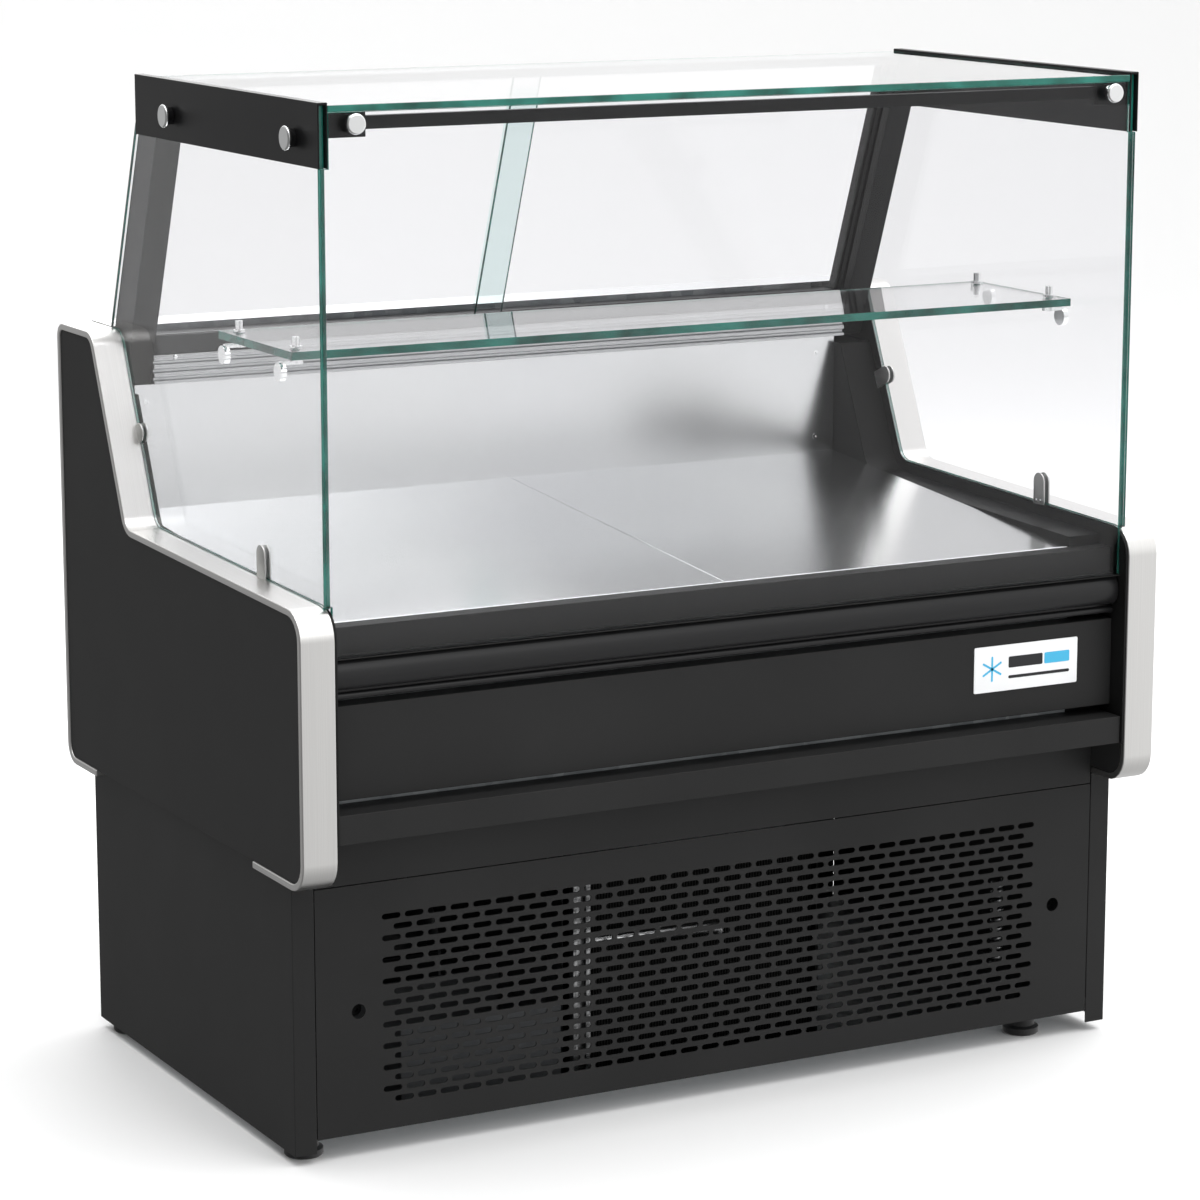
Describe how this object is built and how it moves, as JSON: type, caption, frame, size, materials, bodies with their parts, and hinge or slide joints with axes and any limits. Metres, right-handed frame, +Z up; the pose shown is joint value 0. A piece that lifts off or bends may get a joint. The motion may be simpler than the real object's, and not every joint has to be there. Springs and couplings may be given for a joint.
{
  "type": "refrigerated deli case",
  "caption": "Refrigerated deli display case: square glass canopy over a stainless deck, rear sliding glass doors, black base with slotted grille, aluminium-edged side panels on levelling feet.",
  "frame": {"origin": "centre of the case on the floor, under the middle of its width and depth", "axes": "+X to the right of a customer facing the glass, +Y away from the customer to the server, +Z up"},
  "size_m": [1.25, 0.8, 1.3205],
  "materials": {
    "cabinet_black": "satin black powder coat on folded sheet steel",
    "panel_black": "satin black coated skin over a foam core",
    "insulation_grey": "foam filled wall with a plain galvanised skin",
    "liner_black": "black moulded liner",
    "frame_black": "semi-gloss black coated aluminium section",
    "track_black": "black extruded plastic track",
    "bumper_plastic": "glossy black extruded bumper",
    "foot_plastic": "black moulded levelling foot",
    "control_plastic": "black moulded control housing",
    "strip_aluminium": "satin brushed and clear anodised",
    "zinc_sheet": "plain galvanised sheet, foam filled where it is a wall",
    "pan_stainless": "stainless sheet with a soft satin grain",
    "chrome_fitting": "polished point fixing",
    "canopy_glass": "clear toughened glass with green edges",
    "door_glass": "clear toughened glass with green edges",
    "shelf_glass": "clear toughened glass with green edges",
    "badge_white": null,
    "compressor_black": "black enamelled compressor shell",
    "coil_metal": "finned coil, aluminium fins on copper tube",
    "fan_metal": "pressed fan blade",
    "fan_plastic": "moulded black fan blade"
  },
  "bodies": {
    "case": {"base_side_left": "cabinet_black", "base_side_right": "cabinet_black", "base_back": "cabinet_black", "base_floor": "zinc_sheet", "grille_panel": "cabinet_black", "base_front_rail": "cabinet_black", "foot_front_left": "foot_plastic", "foot_front_right": "foot_plastic", "foot_rear_left": "foot_plastic", "foot_rear_right": "foot_plastic", "edge_strip_left": "strip_aluminium", "end_panel_left": "panel_black", "edge_strip_right": "strip_aluminium", "end_panel_right": "panel_black", "side_liner_left": "liner_black", "side_duct_right": "liner_black", "insulated_body": "insulation_grey", "sill": "cabinet_black", "bumper_rail": "bumper_plastic", "front_panel": "cabinet_black", "lower_lip": "cabinet_black", "back_wall": "pan_stainless", "track_support": "strip_aluminium", "door_track_bottom": "track_black", "door_track_top": "strip_aluminium", "rear_post_left": "frame_black", "rear_post_right": "frame_black", "rear_ledge": "pan_stainless", "rear_panel": "cabinet_black", "controller": "control_plastic", "top_glass": "canopy_glass", "front_glass": "canopy_glass", "side_glass_left": "canopy_glass", "side_glass_right": "canopy_glass", "shelf": "shelf_glass", "side_channel_left": "frame_black", "side_channel_right": "frame_black", "header_bar": "frame_black", "side_fixing_front_left": "chrome_fitting", "side_fixing_rear_left": "chrome_fitting", "side_fixing_front_right": "chrome_fitting", "side_fixing_rear_right": "chrome_fitting", "front_fixing_left": "chrome_fitting", "front_fixing_right": "chrome_fitting", "shelf_clamp_front_left": "chrome_fitting", "shelf_clamp_front_right": "chrome_fitting", "shelf_clamp_rear_left": "chrome_fitting", "shelf_clamp_rear_right": "chrome_fitting", "compressor": "compressor_black", "condenser_coil": "coil_metal", "fan_shroud": "zinc_sheet", "fan_motor": "compressor_black", "evaporator_coil": "coil_metal"},
    "left_door": {"door_left": "door_glass"},
    "right_door": {"door_right": "door_glass"},
    "left_pan": {"deck_pan_left": "pan_stainless"},
    "right_pan": {"deck_pan_right": "pan_stainless"},
    "condenser_rotor": {"condenser_fan": "fan_metal"},
    "evaporator_rotor": {"evaporator_fan": "fan_plastic"},
    "rocker": {"rocker_switch": "control_plastic"}
  },
  "joints": [
    {"name": "door_left_slide", "type": "slide", "parent": "case", "child": "left_door", "axis": [1, 0, 0], "range_m": [0, 0.55]},
    {"name": "door_right_slide", "type": "slide", "parent": "case", "child": "right_door", "axis": [-1, 0, 0], "range_m": [0, 0.484]},
    {"name": "deck_pan_left_lift", "type": "slide", "parent": "case", "child": "left_pan", "axis": [0, 0, 1], "range_m": [0, 0.15]},
    {"name": "deck_pan_right_lift", "type": "slide", "parent": "case", "child": "right_pan", "axis": [0, 0, 1], "range_m": [0, 0.15]},
    {"name": "condenser_fan_spin", "type": "hinge", "parent": "case", "child": "condenser_rotor", "pos_m": [-0.01, -0.208, 0.184], "axis": [0, 1, 0], "continuous": true},
    {"name": "evaporator_fan_spin", "type": "hinge", "parent": "case", "child": "evaporator_rotor", "pos_m": [-0.05, 0.1, 0.512], "axis": [0, 1, 0], "continuous": true},
    {"name": "rocker_tilt", "type": "hinge", "parent": "case", "child": "rocker", "pos_m": [0.38, 0.3905, 0.875], "axis": [1, 0, 0], "range_deg": [0, 16]}
  ]
}
